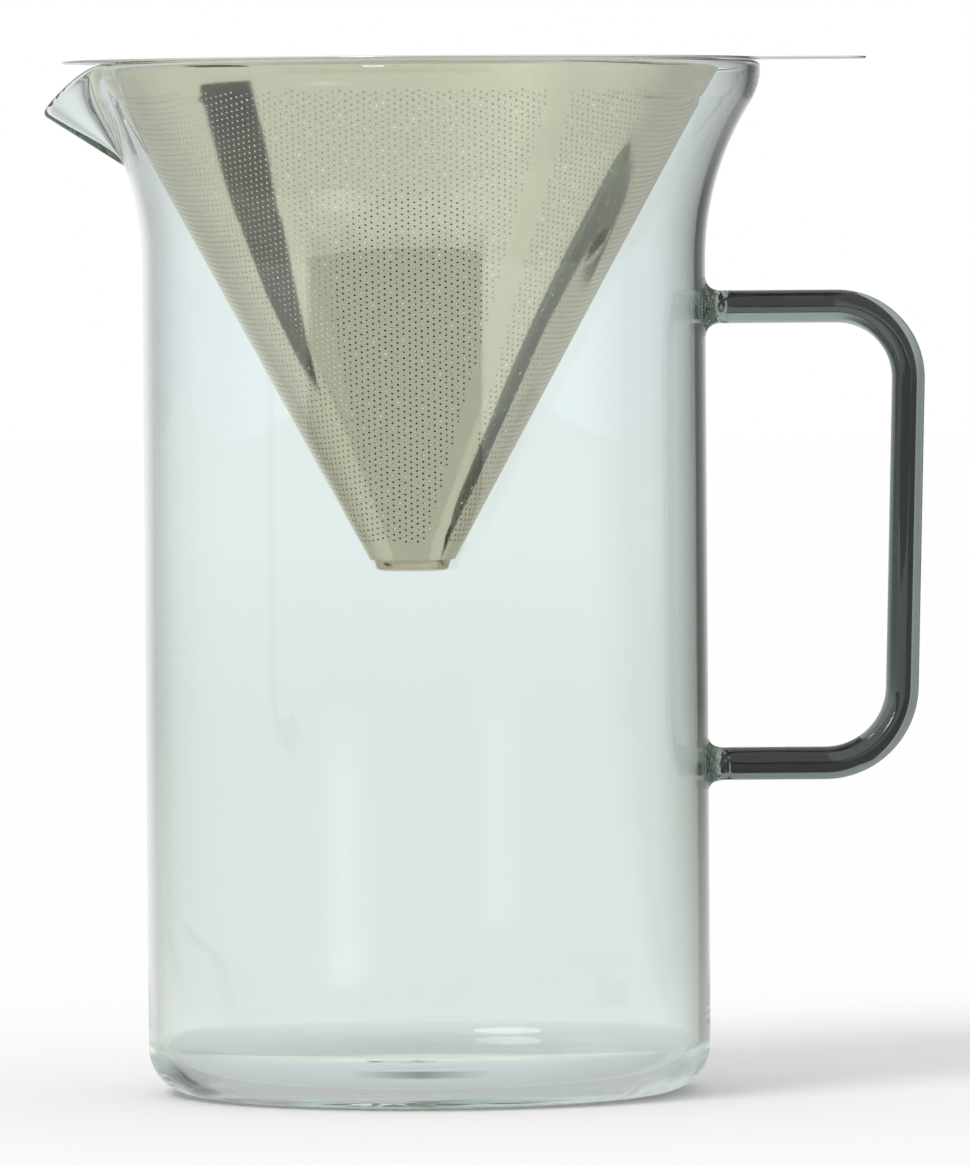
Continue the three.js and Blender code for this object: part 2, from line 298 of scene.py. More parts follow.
# Handle
# One solid rod of the same glass, drawn in a darker grey-green copy of it as painted shade. It is bent
# to a D in the flame and its two ends are fused to the wall, where the soft glass spreads into a foot.
rod_radius = 3.08
handle_below_flare = 8.7
handle_span = 85.3
handle_reach = 38.08
handle_lean = 2.2
top_bend_radius = 13.4
bottom_bend_radius = 14.5
bend_steps = 28
foot_length = 2.6
foot_steps = 12
top_foot_radius = 5.55
bottom_foot_radius = 4.9
fused_depth = 0.12
handle_top = flare_start - handle_below_flare
handle_bottom = handle_top - handle_span


def foot(end, foot_radius):
    """Places and radii along a foot, from inside the wall outwards."""
    turns = [quarter * i / foot_steps for i in range(foot_steps + 1)]
    spread = foot_radius - rod_radius
    flare = [(foot_length * (1 - math.cos(t)), rod_radius + spread * (1 - math.sin(t))) for t in turns]
    stations = [(-fused_depth, foot_radius)] + flare
    return [(end + Vector((away, 0, 0)), radius) for away, radius in stations]


def straight(start, end, shares):
    """Places and radii on a straight stretch, at these shares of its length."""
    return [(start.lerp(end, share), rod_radius) for share in shares]


def bend(corner, before, after, radius):
    """Places and radii on a round bend that replaces a corner of the rod's path."""
    back = (before - corner).normalized()
    on = (after - corner).normalized()
    half = back.angle(on) / 2
    centre = corner + (back + on).normalized() * (radius / math.sin(half))
    start = corner + back * (radius / math.tan(half)) - centre
    end = corner + on * (radius / math.tan(half)) - centre
    turn = start.angle(end)
    side = (end - start * math.cos(turn)) / math.sin(turn)
    turns = [turn * i / bend_steps for i in range(bend_steps + 1)]
    return [(centre + start * math.cos(t) + side * math.sin(t), rod_radius) for t in turns]


bend_x = wall_radius + handle_reach
top_start = Vector((wall_radius, 0, handle_top))
top_corner = Vector((bend_x, 0, handle_top))
bottom_corner = Vector((bend_x - handle_lean, 0, handle_bottom))
bottom_start = Vector((wall_radius, 0, handle_bottom))
path = foot(top_start, top_foot_radius)
path += straight(top_start, top_corner, (0.2, 0.35, 0.5))
path += bend(top_corner, top_start, bottom_corner, top_bend_radius)
path += straight(top_corner, bottom_corner, (0.35, 0.5, 0.65))
path += bend(bottom_corner, top_corner, bottom_start, bottom_bend_radius)
path += straight(bottom_start, bottom_corner, (0.5, 0.35, 0.2))
path += foot(bottom_start, bottom_foot_radius)[::-1]

handle_curve = bpy.data.curves.new("handle_path", "CURVE")
handle_curve.dimensions = "3D"
spline = handle_curve.splines.new("POLY")
spline.points.add(len(path) - 1)
for point, (middle, radius) in zip(spline.points, path):
    point.co = (*(middle * MM), 1)
    point.radius = radius * MM


def new_tree(name, sizes):
    """A geometry tree with a named input for each size, and the sockets that give them."""
    tree = bpy.data.node_groups.new(name, "GeometryNodeTree")
    tree.interface.new_socket(name="Geometry", in_out="INPUT", socket_type="NodeSocketGeometry")
    tree.interface.new_socket(name="Geometry", in_out="OUTPUT", socket_type="NodeSocketGeometry")
    for size, value in sizes.items():
        kind = "NodeSocketInt" if isinstance(value, int) else "NodeSocketFloat"
        tree.interface.new_socket(name=size, in_out="INPUT", socket_type=kind).default_value = value
    return tree, add_node(tree, "NodeGroupInput").outputs


def finish_tree(tree, geometry, material):
    """Ends a tree with real geometry and its material."""
    real = add_node(tree, "RealizeInstances", {0: geometry})
    painted = add_node(tree, "SetMaterial", {"Geometry": real, "Material": material})
    add_node(tree, "NodeGroupOutput", {0: painted})


def built(name, data, tree, sizes):
    """Runs a tree on some data with these sizes, and returns the result as a plain mesh object."""
    source = add_object(name + "_source", data)
    modifier = source.modifiers.new("build", "NODES")
    modifier.node_group = tree
    for item in tree.interface.items_tree:
        if item.in_out == "INPUT" and item.name in sizes:
            modifier[item.identifier] = sizes[item.name]
    graph = bpy.context.evaluated_depsgraph_get()
    mesh = bpy.data.meshes.new_from_object(source.evaluated_get(graph), depsgraph=graph)
    bpy.data.objects.remove(source)
    mesh.name = name
    return add_object(name, mesh)


# The jug's borosilicate in a darker grey-green copy, as painted shade: a rod of it looks dark
# grey-green through its whole depth and lighter at its thin edges. Near the wall the seal leaves small
# puckers and a faint haze.
pucker_size = 1.3 * MM
pucker_depth = 1.2 * MM
pucker_reach = 5.5 * MM
haze_roughness = 0.3
handle_glass, tree = new_material("borosilicate_darkened_rod")
place = add_node(tree, "TexCoord").outputs["Object"]
pucker_noise = add_node(tree, "TexNoise", {"Vector": place, "Scale": 0.5 / pucker_size, "Detail": 2})
near_wall = {"Value": add_node(tree, "SeparateXYZ", {0: place}), "To Min": 1.0, "To Max": 0.0}
near_wall["From Min"] = wall_radius * MM + pucker_reach / 5
near_wall["From Max"] = wall_radius * MM + pucker_reach
near_wall = add_node(tree, "MapRange", near_wall)
puckers = add_node(
    tree, "Bump", {"Height": pucker_noise, "Strength": near_wall, "Distance": pucker_depth}
)
seal_marks = add_node(
    tree, "MapRange", {"Value": pucker_noise, "From Min": 0.5, "From Max": 0.62, "To Max": near_wall}
)
haze = add_node(tree, "Math", {0: seal_marks, 1: haze_roughness}, operation="MULTIPLY")
finish_glass(tree, "#f4f8f6", roughness=haze, relief=puckers, depth="#9fb0a8", density=330.0)

# The rod's tree also draws the middle of each foot's end back by y² / 2R, so that it fits the wall
handle_sizes = {"Rod Sides": 48, "Wall Radius": wall_radius * MM, "Foot Reach": foot_length * MM}
tree, size = new_tree("bent_glass_rod", handle_sizes)
section = add_node(tree, "CurvePrimitiveCircle", {"Resolution": size["Rod Sides"], "Radius": 1.0})
rod = {"Curve": size["Geometry"], "Profile Curve": section, "Fill Caps": True}
rod = add_node(tree, "CurveToMesh", {**rod, "Scale": add_node(tree, "InputRadius")})
position = add_node(tree, "InputPosition")
x, y = add_node(tree, "SeparateXYZ", {0: position}).outputs[:2]
foot_end = add_node(tree, "Math", {0: size["Wall Radius"], 1: size["Foot Reach"]}, operation="ADD")
to_wall = {"Value": x, "From Min": size["Wall Radius"], "From Max": foot_end}
to_wall = add_node(tree, "MapRange", {**to_wall, "To Min": 1.0, "To Max": 0.0})
offset = add_node(tree, "Math", {0: y, 1: y}, operation="MULTIPLY")
for factor in (-0.5 / (wall_radius * MM), to_wall):
    offset = add_node(tree, "Math", {0: offset, 1: factor}, operation="MULTIPLY")
offset = add_node(tree, "CombineXYZ", {0: offset})
fitted = add_node(tree, "SetPosition", {"Geometry": rod, "Offset": offset})
smooth = add_node(tree, "SetShadeSmooth", {"Geometry": fitted})
finish_tree(tree, smooth, handle_glass)
handle = built("handle_bent_rod", handle_curve, tree, handle_sizes)
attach(handle, "jug")
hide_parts("jug_handle")


# Filter cone
# Stainless steel sheet, photo-etched with fine holes in a hexagonal pattern while flat, then rolled
# to a cone and butt-welded along a plain seam. Here it is drawn flat in panels of narrow strips, cut
# between two columns of holes, and each panel is wrapped on the cone.
sheet = 0.4
etched_sheet = 0.1
cone_depth = 92.75
cone_tip_radius = 8
cone_play = 2.5
seat_clearance = 0.3
cone_top_radius = mouth_radius - lip_thickness - cone_play
cone_angle = math.atan2(cone_top_radius - cone_tip_radius, cone_depth)
seat_height = jug_height + seat_clearance
cone_low, cone_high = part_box("filter_cone")
filter_axis = Vector(((cone_low[0] + cone_high[0]) / 2, 0, 0)) / MM
top_slant = cone_top_radius / math.sin(cone_angle)
tip_slant = cone_tip_radius / math.sin(cone_angle)
half_turn = math.pi * math.sin(cone_angle)
sheet_reach = top_slant * math.sin(half_turn)

hole_pitch = 1.26
column_spacing = 1.115
plain_top = 6.3
plain_tip = 4.0
seam_angle = math.radians(30.3)
panel_count = 5
strip_columns = 6


def finish_steel(tree, colour, marks, roughness, strength):
    """Ends the tree of a steel whose marks of working show in its gloss and as a fine relief."""
    mark_depth = 0.01 * MM
    least, most = roughness
    gloss = add_node(tree, "MapRange", {"Value": marks, "To Min": least, "To Max": most})
    relief = add_node(tree, "Bump", {"Height": marks, "Strength": strength, "Distance": mark_depth})
    steel = {"Base Color": linear(colour), "Metallic": 1.0, "Roughness": gloss, "Normal": relief}
    steel = add_node(tree, "BsdfPrincipled", steel)
    add_node(tree, "OutputMaterial", {"Surface": steel})


# Etched stainless sheet: a satin silver with a faint warm cast, partly a painted warm reflection of the
# surroundings. Rolling leaves it a fine grain along the sheet, which spreads a reflection slightly.
grain_width = 0.25
grain_length = 9
perforated_steel, tree = new_material("stainless_etched_satin")
flat_place = add_node(tree, "UVMap", uv_map="flat_sheet")
grain = drawn_out_noise(tree, flat_place, (grain_width, grain_length, 1), 3)
finish_steel(tree, "#d9d3c6", grain, roughness=(0.05, 0.11), strength=0.15)

# The tree works on the flat sheet in millimetres, with the cone's point as its origin. The sheet is
# drawn as thin as an etched one is, because a thicker one hides its holes.
cone_sizes = {
    "First Column": 0,
    "Columns": 1,
    "Strip Columns": strip_columns,
    "Rows": int(top_slant / hole_pitch) + 1,
    "Column Spacing": column_spacing,
    "Hole Pitch": hole_pitch,
    "Hole Radius": 0.22,
    "Hole Sides": 8,
    "Lowest Hole": tip_slant + plain_tip,
    "Highest Hole": top_slant - plain_top,
    "Seam Turn": seam_angle * math.sin(cone_angle),
    "Seam Half Width": 2.4,
    "Half Turn": half_turn,
    "Sheet": etched_sheet,
    "Cone Angle": cone_angle,
    "Axis Offset": filter_axis.x,
    "Top Height": seat_height,
    "Top Slant": top_slant,
}
tree, size = new_tree("perforated_cone", cone_sizes)
position = add_node(tree, "InputPosition")
across, up, through = add_node(tree, "SeparateXYZ", {0: position}).outputs
flat_place = add_node(tree, "CombineXYZ", {0: across, 1: up})
slant = add_node(tree, "VectorMath", {0: flat_place}, operation="LENGTH").outputs["Value"]

# Each sum has a name, an operation, and the sizes, numbers and earlier sums that it works on
sums = [
    # The grid of one panel's holes, with every second column half a pitch higher
    ("column gaps", "SUBTRACT", "Columns", 1.0),
    ("row gaps", "SUBTRACT", "Rows", 1.0),
    ("grid width", "MULTIPLY", "column gaps", "Column Spacing"),
    ("grid height", "MULTIPLY", "row gaps", "Hole Pitch"),
    ("half width", "DIVIDE", "grid width", 2.0),
    ("half height", "DIVIDE", "grid height", 2.0),
    ("from side", "ADD", "across", "half width"),
    ("from foot", "ADD", "up", "half height"),
    ("side gaps", "DIVIDE", "from side", "Column Spacing"),
    ("panel column", "ROUND", "side gaps"),
    ("column", "ADD", "panel column", "First Column"),
    ("odd column", "FLOORED_MODULO", "column", 2.0),
    ("half odd", "MULTIPLY", "odd column", 0.5),
    ("stagger", "MULTIPLY", "half odd", "Hole Pitch"),
    ("hole across", "MULTIPLY", "column", "Column Spacing"),
    ("hole up", "ADD", "from foot", "stagger"),
    # No hole is in the plain bands at the tip and the top, on the seam, or on the cut at the back
    ("turn", "ARCTAN2", "across", "up"),
    ("turn from seam", "SUBTRACT", "turn", "Seam Turn"),
    ("sine from seam", "SINE", "turn from seam"),
    ("beside seam", "MULTIPLY", "slant", "sine from seam"),
    ("from seam", "ABSOLUTE", "beside seam"),
    ("turn from front", "ABSOLUTE", "turn"),
    ("turn from back", "SUBTRACT", "Half Turn", "turn from front"),
    ("sine from back", "SINE", "turn from back"),
    ("from back", "MULTIPLY", "slant", "sine from back"),
    ("hole width", "MULTIPLY", "Hole Radius", 2.0),
    ("clear of tip", "GREATER_THAN", "slant", "Lowest Hole"),
    ("clear of top", "LESS_THAN", "slant", "Highest Hole"),
    ("clear of seam", "GREATER_THAN", "from seam", "Seam Half Width"),
    ("clear of back", "GREATER_THAN", "from back", "hole width"),
    ("clear of bands", "MULTIPLY", "clear of tip", "clear of top"),
    ("clear of joins", "MULTIPLY", "clear of seam", "clear of back"),
    ("kept", "MULTIPLY", "clear of bands", "clear of joins"),
    ("left out", "LESS_THAN", "kept", 0.5),
    # The strip that an outline or a hole belongs to, so that each strip is filled by itself
    ("gaps across", "DIVIDE", "across", "Column Spacing"),
    ("columns passed", "ADD", "gaps across", 0.5),
    ("passed in panel", "SUBTRACT", "columns passed", "First Column"),
    ("strips passed", "DIVIDE", "passed in panel", "Strip Columns"),
    ("strip", "FLOOR", "strips passed"),
    # The sheet wrapped round the cone's axis, with its thickness behind its face
    ("behind", "MULTIPLY", "Sheet", -1.0),
    ("sine", "SINE", "Cone Angle"),
    ("cosine", "COSINE", "Cone Angle"),
    ("sheet out", "MULTIPLY", "through", "cosine"),
    ("radius", "MULTIPLY_ADD", "slant", "sine", "sheet out"),
    ("slant from top", "SUBTRACT", "Top Slant", "slant"),
    ("below top", "MULTIPLY", "slant from top", "cosine"),
    ("face height", "SUBTRACT", "Top Height", "below top"),
    ("sheet down", "MULTIPLY", "through", "sine"),
    ("sheet height", "SUBTRACT", "face height", "sheet down"),
    ("height", "MINIMUM", "sheet height", "Top Height"),
    ("azimuth", "DIVIDE", "turn", "sine"),
    ("azimuth sine", "SINE", "azimuth"),
    ("azimuth cosine", "COSINE", "azimuth"),
    ("beside axis", "MULTIPLY_ADD", "radius", "azimuth sine", "Axis Offset"),
    ("minus radius", "MULTIPLY", "radius", -1.0),
    ("behind axis", "MULTIPLY", "minus radius", "azimuth cosine"),
]
value = dict(size.items())
value.update({"across": across, "up": up, "through": through, "slant": slant})
for name, operation, *terms in sums:
    inputs = {i: value.get(term, term) for i, term in enumerate(terms)}
    value[name] = add_node(tree, "Math", inputs, operation=operation, label=name)

# The holes and the strips' outlines are filled between
grid = {"Vertices X": size["Columns"], "Vertices Y": size["Rows"]}
grid.update({"Size X": value["grid width"], "Size Y": value["grid height"]})
grid = add_node(tree, "MeshGrid", grid)
hole_place = add_node(tree, "CombineXYZ", {0: value["hole across"], 1: value["hole up"]})
holes = add_node(tree, "SetPosition", {"Geometry": grid, "Position": hole_place})
chosen = add_node(tree, "DeleteGeometry", {"Geometry": holes, "Selection": value["left out"]})
circle = add_node(
    tree, "CurvePrimitiveCircle", {"Resolution": size["Hole Sides"], "Radius": size["Hole Radius"]}
)
rims = add_node(tree, "InstanceOnPoints", {"Points": chosen, "Instance": circle})
rims = add_node(tree, "RealizeInstances", {0: rims})
outline = add_node(tree, "MeshToCurve", {"Mesh": size["Geometry"]})
lines = add_node(tree, "JoinGeometry", {0: [outline, rims]})
filled = add_node(tree, "FillCurve", {"Curve": lines, "Group ID": value["strip"]}, mode="TRIANGLES")
weld_distance = 0.001
flat = add_node(tree, "MergeByDistance", {"Geometry": filled, "Distance": weld_distance})

# The flat strip gets its thickness behind its face, then it is wrapped
behind = add_node(tree, "CombineXYZ", {2: value["behind"]})
forward = add_node(tree, "CombineXYZ", {2: size["Sheet"]})
back = add_node(tree, "SetPosition", {"Geometry": flat, "Offset": behind})
front = add_node(
    tree,
    "ExtrudeMesh",
    {"Mesh": back, "Offset": forward, "Offset Scale": 1.0, "Individual": False},
    mode="FACES",
)
turned = add_node(tree, "FlipFaces", {"Mesh": back})
shell = add_node(tree, "JoinGeometry", {0: [front, turned]})
closed = add_node(tree, "MergeByDistance", {"Geometry": shell, "Distance": weld_distance})
mapped = add_node(
    tree,
    "StoreNamedAttribute",
    {"Geometry": closed, "Name": "flat_sheet", "Value": position},
    data_type="FLOAT2",
    domain="CORNER",
)
wrapped = add_node(
    tree, "CombineXYZ", {0: value["beside axis"], 1: value["behind axis"], 2: value["height"]}
)
in_metres = add_node(tree, "VectorMath", {0: wrapped, "Scale": MM}, operation="SCALE")
cone = add_node(tree, "SetPosition", {"Geometry": mapped, "Position": in_metres})
finish_tree(tree, cone, perforated_steel)


def low_edge(start, end):
    """The flat strip's lower outline: the tip's arc, and on either side of it the back cut."""
    corner = tip_slant * math.sin(half_turn)
    round_tip = [tip_slant * math.sin(t) for t in np.linspace(-half_turn, half_turn, 89)]
    cut = np.linspace(corner, sheet_reach, 107)[1:-1].tolist()
    places = sorted(round_tip + cut + [-p for p in cut])
    places = [start] + [p for p in places if start < p < end] + [end]
    on_arc = lambda p: math.sqrt(max(tip_slant**2 - p * p, 0))
    on_cut = lambda p: abs(p) / math.tan(half_turn)
    return [(p, on_arc(p) if abs(p) < corner else on_cut(p)) for p in places]


def high_edge(start, end):
    """The flat strip's upper outline, an arc as wide as the sheet."""
    turns = np.linspace(-half_turn, half_turn, 181)
    places = [top_slant * math.sin(t) for t in turns]
    places = [start] + [p for p in places if start < p < end] + [end]
    return [(p, math.sqrt(max(top_slant**2 - p * p, 0))) for p in places]


def between(start, end, shares):
    """Places at these shares of the way from start to end."""
    return [tuple(np.add(start, np.subtract(end, start) * share)) for share in shares]


def strip_outline(start, end):
    """The outline of one strip. Where the sheet ends, its two edges meet in a point."""
    low = low_edge(start, end)
    high = high_edge(start, end)[::-1]
    shares = np.linspace(0, 1, 61)[1:-1]
    ring = low + between(low[-1], high[0], shares) + high if end < sheet_reach else low + high[1:]
    return ring + between(high[-1], low[0], shares) if start > -sheet_reach else ring[:-1]


def panel_outline(first, past):
    """A flat mesh of the outlines of one panel's strips."""
    points, edges = [], []
    for column in range(first, past, strip_columns):
        start = max((column - 0.5) * column_spacing, -sheet_reach)
        end = min((min(column + strip_columns, past) - 0.5) * column_spacing, sheet_reach)
        ring = strip_outline(start, end)
        edges += [(len(points) + i, len(points) + (i + 1) % len(ring)) for i in range(len(ring))]
        points += [(across, up, 0) for across, up in ring]
    mesh = bpy.data.meshes.new("strip_outlines")
    mesh.from_pydata(points, edges, [])
    return mesh


def shade_as_cone(mesh):
    """Gives the two faces of the wrapped sheet the exact normals of a cone."""
    corners = np.empty(len(mesh.loops), int)
    mesh.loops.foreach_get("vertex_index", corners)
    points = np.empty(len(mesh.vertices) * 3)
    mesh.vertices.foreach_get("co", points)
    points = points.reshape(-1, 3)
    corner_counts = np.empty(len(mesh.polygons), int)
    mesh.polygons.foreach_get("loop_total", corner_counts)
    face_of_corner = np.repeat(np.arange(len(mesh.polygons)), corner_counts)
    flat_normals = np.empty(len(mesh.polygons) * 3)
    mesh.polygon_normals.foreach_get("vector", flat_normals)
    flat_normals = flat_normals.reshape(-1, 3)[face_of_corner]
    outwards = points[corners] - np.array([filter_axis.x * MM, 0, 0])
    outwards[:, 2] = 0
    outwards *= (math.cos(cone_angle) / np.linalg.norm(outwards, axis=1))[:, None]
    outwards[:, 2] = -math.sin(cone_angle)
    facing = (flat_normals * outwards).sum(1)
    on_face = np.abs(facing) > 0.9
    normals = np.where(on_face[:, None], outwards * np.sign(facing)[:, None], flat_normals)
    mesh.shade_smooth()
    mesh.normals_split_custom_set(normals.tolist())


last_column = math.ceil(sheet_reach / column_spacing)
panel_starts = np.linspace(-last_column, last_column + 1, panel_count + 1).round().astype(int)
for panel in range(panel_count):
    first, past = panel_starts[panel : panel + 2].tolist()
    sizes = dict(cone_sizes, **{"First Column": first, "Columns": past - first})
    piece = built(f"cone_sheet_{panel + 1}", panel_outline(first, past), tree, sizes)
    shade_as_cone(piece.data)
    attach(piece, "filter")
    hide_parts("filter_cone")


# Filter flange
# A flat ring with a finger tab, blanked from polished stainless sheet. Its burrs are broken to a
# fine round edge. The cone's wide end is welded into its hole.
flange_thickness = 0.4
tab_length = 20.5
tab_width = 22
tab_corner_radius = 8
tab_root_radius = 6
broken_edge = 0.1
flange_low, flange_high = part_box("filter_flange")
flange_radius = (flange_high[1] - flange_low[1]) / 2 / MM
sheet_across = sheet / math.cos(cone_angle)
flange_hole_radius = cone_top_radius - sheet_across


def flange_outline(inset):
    """The flange's outline about the cone's axis, drawn in by an inset."""
    root_y = tab_width / 2 + tab_root_radius
    root_x = math.sqrt((flange_radius + tab_root_radius) ** 2 - root_y**2)
    root_turn = math.atan2(root_y, root_x)
    corner_x = flange_radius + tab_length - tab_corner_radius
    corner_y = tab_width / 2 - tab_corner_radius
    root_radius = tab_root_radius + inset
    corner_radius = tab_corner_radius - inset
    round_ring = (root_turn, 2 * math.pi - root_turn)
    return np.concatenate(
        [
            arc_points((0, 0), flange_radius - inset, *round_ring, 240),
            arc_points((root_x, -root_y), root_radius, math.pi - root_turn, quarter, 12)[1:],
            arc_points((corner_x, -corner_y), corner_radius, -quarter, 0, 16),
            arc_points((corner_x, corner_y), corner_radius, 0, quarter, 16),
            arc_points((root_x, root_y), root_radius, -quarter, root_turn - math.pi, 12)[:-1],
        ]
    )


def hole_outline(inset, outline):
    """The hole's edge, with one point for each point of the outline."""
    turns = np.arctan2(outline[:, 1], outline[:, 0])
    radius = flange_hole_radius + inset
    return np.stack([radius * np.cos(turns), radius * np.sin(turns)], 1)


def ring_faces(rings, count, closed):
    """Faces between rings of points, and from the last to the first where the section is closed."""
    faces = []
    for i in range(rings if closed else rings - 1):
        here, there = i * count, (i + 1) % rings * count
        for j in range(count):
            k = (j + 1) % count
            faces.append((here + j, here + k, there + k, there + j))
    return faces


# Polished stainless sheet: brighter and cooler than the etched cone, with fine lines left across it
# by the polishing belt.
belt_line_width = 0.12 * MM
belt_line_length = 14 * MM
flange_steel, tree = new_material("stainless_polished_sheet")
place = add_node(tree, "TexCoord").outputs["Object"]
belt_lines = drawn_out_noise(tree, place, (belt_line_length, belt_line_width, MM), 2)
finish_steel(tree, "#cbc5c4", belt_lines, roughness=(0.12, 0.24), strength=0.1)

broken_shares = [(1, 0), (0.3, 0.3), (0, 1)]
low_steps = [(inset * broken_edge, rise * broken_edge) for inset, rise in broken_shares]
levels = low_steps + [(inset, flange_thickness - rise) for inset, rise in low_steps[::-1]]
full = flange_outline(0)
edges = [(flange_outline(inset), rise) for inset, rise in levels]
edges += [(hole_outline(inset, full), rise) for inset, rise in levels[::-1]]
loops = [np.column_stack([edge, np.full(len(edge), seat_height + rise)]) for edge, rise in edges]
points = np.concatenate(loops) + np.array(filter_axis)
faces = ring_faces(len(loops), len(full), closed=True)
flange = new_piece("flange_ring_and_tab", points, faces, flange_steel)
flange.data.set_sharp_from_angle(angle=math.radians(50))
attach(flange, "filter")
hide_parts("filter_flange")


# Filter base cap
# A shallow cup pressed from the same sheet as the cone. Its brim is spot-welded inside the small end,
# and its flat bottom closes the filter.
cap_drop = 2.1
cap_taper = 0.45
cap_corner_radius = 0.9
cap_brim = 3
cap_sides = 128
weld_gap = 0.3

# Pressed stainless: satin, with the faint rings that the forming tool leaves round the axis.
ring_width = 0.35
pressed_steel, tree = new_material("stainless_pressed_satin")
axis_place = add_node(
    tree,
    "Mapping",
    {
        "Vector": add_node(tree, "TexCoord").outputs["Object"],
        "Location": (-filter_axis.x / ring_width, 0, 0),
        "Scale": (1 / (ring_width * MM),) * 3,
    },
)
tool_rings = add_node(
    tree,
    "TexWave",
    {"Vector": axis_place, "Scale": 0.3, "Distortion": 0.6, "Detail": 1},
    wave_type="RINGS",
    rings_direction="Z",
)
finish_steel(tree, "#cfc8b8", tool_rings.outputs["Fac"], roughness=(0.16, 0.26), strength=0.12)

cone_end = seat_height - cone_depth
cup_radius = cone_tip_radius - sheet_across - weld_gap
cup_base = cone_end - cap_drop
corner = (cup_radius - cap_taper - cap_corner_radius, cup_base + cap_corner_radius)
brim_radius = cup_radius + cap_brim * math.tan(cone_angle)
brim_height = cone_end + cap_brim
cup_profile = np.concatenate(
    [
        arc_points(corner, cap_corner_radius, -quarter, 0, 10),
        [(cup_radius, cone_end), (brim_radius, brim_height)],
        [(brim_radius - sheet_across, brim_height), (cup_radius - sheet_across, cone_end)],
        arc_points(corner, cap_corner_radius - sheet, 0, -quarter, 8),
    ]
)
turns = np.linspace(0, 2 * math.pi, cap_sides, endpoint=False)
cup_points = [
    (radius * math.cos(turn), radius * math.sin(turn), height)
    for radius, height in cup_profile
    for turn in turns
]
cup_faces = ring_faces(len(cup_profile), cap_sides, closed=False)
cup_faces.append(tuple(range(cap_sides))[::-1])
cup_faces.append(tuple(range(len(cup_points) - cap_sides, len(cup_points))))
cup_points = np.array(cup_points) + np.array(filter_axis)
cap = new_piece("base_cap_pressed_cup", cup_points, cup_faces, pressed_steel)
cap.data.set_sharp_from_angle(angle=math.radians(40))
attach(cap, "filter")
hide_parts("filter_base_cap")


# Studio
# A pale floor under an even white surround, with one soft lamp from the left. Cards that only
# reflections and refractions show stand round the object, as flags and softboxes stand round glass.
def bent_ray(tree):
    """1 on rays that a mirror or a glass has turned."""
    ray = add_node(tree, "LightPath").outputs
    turned = {0: ray["Is Glossy Ray"], 1: ray["Is Transmission Ray"]}
    return add_node(tree, "Math", turned, operation="ADD", use_clamp=True)


def depth_test(tree, test, glass_count, steel_count):
    """1 on rays whose counts of refractions and reflections both pass a test against these."""
    ray = add_node(tree, "LightPath").outputs
    crossed = {0: ray["Transmission Depth"], 1: glass_count}
    turned = {0: ray["Glossy Depth"], 1: steel_count}
    both = [add_node(tree, "Math", pair, operation=test) for pair in (crossed, turned)]
    return add_node(tree, "Math", dict(enumerate(both)), operation="MULTIPLY")


# Tests of rays: those that crossed no more glass than one rod, those that crossed the jug's wall and
# were mirrored, as by the cone's inside, and those that the steel mirrored out through the wall again
through_one_rod = ("LESS_THAN", 2.5, 0.5)
mirrored_in_jug = ("GREATER_THAN", 1.5, 0.5)
from_steel_behind_glass = ("GREATER_THAN", 3.5, 0.5)


def room_shade(tree, aside, behind):
    """How bright the room is in a direction on the floor plan. It is darkest on the right, behind
    the handle, and grey on the left. Its stops are pairs of a turn and a brightness."""
    left_stops = [(-90, 1), (-72, 0.95), (-55, 0.75), (-40, 0.56), (-30, 0.58), (-20, 0.78)]
    left_stops += [(-13, 0.93), (-6.5, 1)]
    right_stops = [(0, 1), (1.5, 1), (2.7, 0.88), (4, 0.88), (7, 0.68), (12.8, 0.34), (20, 0.15)]
    right_stops += [(32, 0.1), (45, 0.36), (58, 0.6), (75, 0.88), (90, 1)]
    stops = [(0.5 + turn / 360, grey) for turn, grey in left_stops + right_stops]
    angle = add_node(tree, "Math", {0: aside, 1: behind}, operation="ARCTAN2")
    share = add_node(tree, "Math", {0: angle, 1: 1 / math.tau, 2: 0.5}, operation="MULTIPLY_ADD")
    return add_node(tree, "ValToRGB", {0: share}, stops)


def level(left, right, near, far, height):
    """Corners of a level surface."""
    return [(left, near, height), (right, near, height), (right, far, height), (left, far, height)]


# Matt floor: white to the eye and under the object's shadow. What glass and steel show of it is a glow
# with painted shade: shaded as the room is, ever less towards the jug, and dark close under the jug.
floor_half = 6000
floor_drop = 0.2
speckle_size = 2 * MM
speckle_depth = 0.05 * MM
near_share = 0.58
near_reach = 1700 * MM
under_shade = 0.52
under_near, under_far = 30 * MM, 120 * MM
horizon_near, horizon_far = 1300 * MM, 3600 * MM
least_in_steel = 0.5
floor_white = linear("#f7f7f4")
horizon_white = linear("#ffffff")
# In the steel behind the glass the floor's glow is painted warm, a painted reflection
painted_warm_in_steel = linear("#fffbeb")

floor_paint, tree = new_material("studio_floor_matt")
place = add_node(tree, "TexCoord").outputs["Object"]
speckle = add_node(tree, "TexNoise", {"Vector": place, "Scale": 1 / speckle_size})
tooth = add_node(tree, "Bump", {"Height": speckle, "Strength": 0.1, "Distance": speckle_depth})
matt = add_node(tree, "BsdfDiffuse", {"Color": linear("#fdfdfc"), "Normal": tooth})
x, y = add_node(tree, "SeparateXYZ", {0: place}).outputs[:2]
aside = add_node(tree, "Math", {0: x}, operation="ABSOLUTE")
side = add_node(tree, "Math", {0: x}, operation="SIGN")
for operation, term in (("SUBTRACT", wall_radius * MM), ("MAXIMUM", 0.0), ("MULTIPLY", side)):
    aside = add_node(tree, "Math", {0: aside, 1: term}, operation=operation)
steel_look = depth_test(tree, *from_steel_behind_glass)
least = add_node(tree, "Math", {0: steel_look, 1: least_in_steel}, operation="MULTIPLY")
room = add_node(tree, "Math", {0: room_shade(tree, aside, y), 1: least}, operation="MAXIMUM")
away = add_node(tree, "VectorMath", {0: place}, operation="LENGTH").outputs["Value"]
near = add_node(tree, "MapRange", {"Value": away, "From Max": near_reach, "To Min": near_share})
